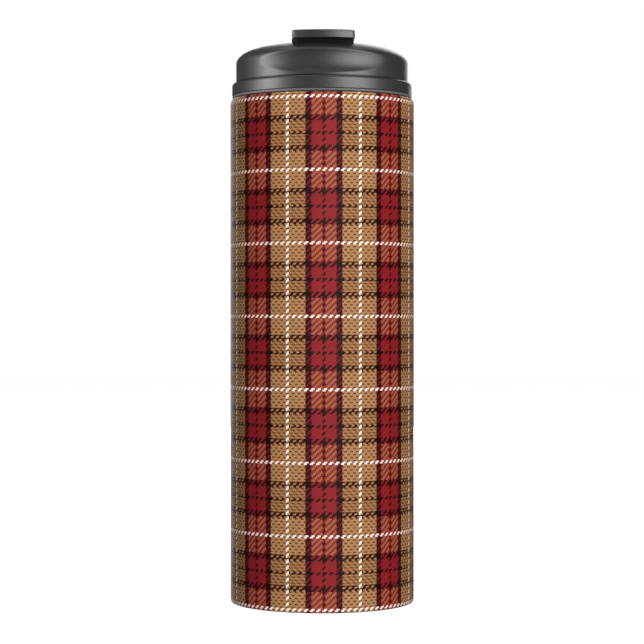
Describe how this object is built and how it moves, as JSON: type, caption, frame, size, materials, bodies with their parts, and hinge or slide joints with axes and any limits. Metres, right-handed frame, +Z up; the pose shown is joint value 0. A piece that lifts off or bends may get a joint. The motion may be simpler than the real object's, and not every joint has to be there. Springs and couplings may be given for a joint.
{
  "type": "vacuum flask",
  "caption": "Straight double-wall vacuum flask with a printed plaid wrap, a screw lid with a scooped cap, and a flip tab that closes the drink hole.",
  "frame": {"origin": "centre of the face that the flask stands on, on the body's axis", "axes": "+Z up along the body's axis, the tab's lip and the cap's scoop face -Y, +X to the right seen from the front"},
  "size_m": [0.073, 0.073, 0.2239],
  "materials": {
    "shell_steel": "satin turned steel",
    "liner_steel": "electropolished steel",
    "print": "satin printed coating, red, tan, black and white plaid",
    "lid_plastic": "fine satin moulded polypropylene",
    "tab_plastic": "fine satin moulded polypropylene",
    "seal_silicone": "matt translucent grey silicone",
    "gasket_silicone": "matt black silicone",
    "pad_silicone": "matt black silicone",
    "pin_steel": "ground steel",
    "foil": "bright copper-coated foil",
    "foam": "closed-cell foam",
    "getter_metal": "sintered grey metal",
    "bead_glass": "dark glass solder"
  },
  "bodies": {
    "flask": {"outer_shell": "shell_steel", "printed_wrap": "print", "inner_liner": "liner_steel", "heat_foil": "foil", "getter": "getter_metal", "outer_base": "shell_steel", "seal_bead": "bead_glass", "base_cover": "shell_steel", "base_pad": "pad_silicone"},
    "lid_seal": {"lid_gasket": "gasket_silicone"},
    "lid": {"lid_base": "lid_plastic", "cap_oring": "seal_silicone", "lid_insulation": "foam", "spout_seal": "seal_silicone", "vent_seal": "seal_silicone", "lid_cap": "lid_plastic", "hinge_pin": "pin_steel"},
    "tab": {"flip_tab": "tab_plastic", "spout_plug": "seal_silicone", "vent_plug": "seal_silicone"}
  },
  "joints": [
    {"name": "lid_lift", "type": "slide", "parent": "flask", "child": "lid_seal", "axis": [0, 0, 1], "range_m": [0, 0.0201]},
    {"name": "lid_twist", "type": "hinge", "parent": "lid_seal", "child": "lid", "pos_m": [0, 0, 0.201], "axis": [0, 0, 1], "range_deg": [0, 900]},
    {"name": "tab_flip", "type": "hinge", "parent": "lid", "child": "tab", "pos_m": [0, 0, 0.2198], "axis": [-1, 0, 0], "range_deg": [0, 165]}
  ],
  "couplings": [
    {"joint": "lid_lift", "follows": "lid_twist", "m_per_rad": 0.0012732}
  ]
}
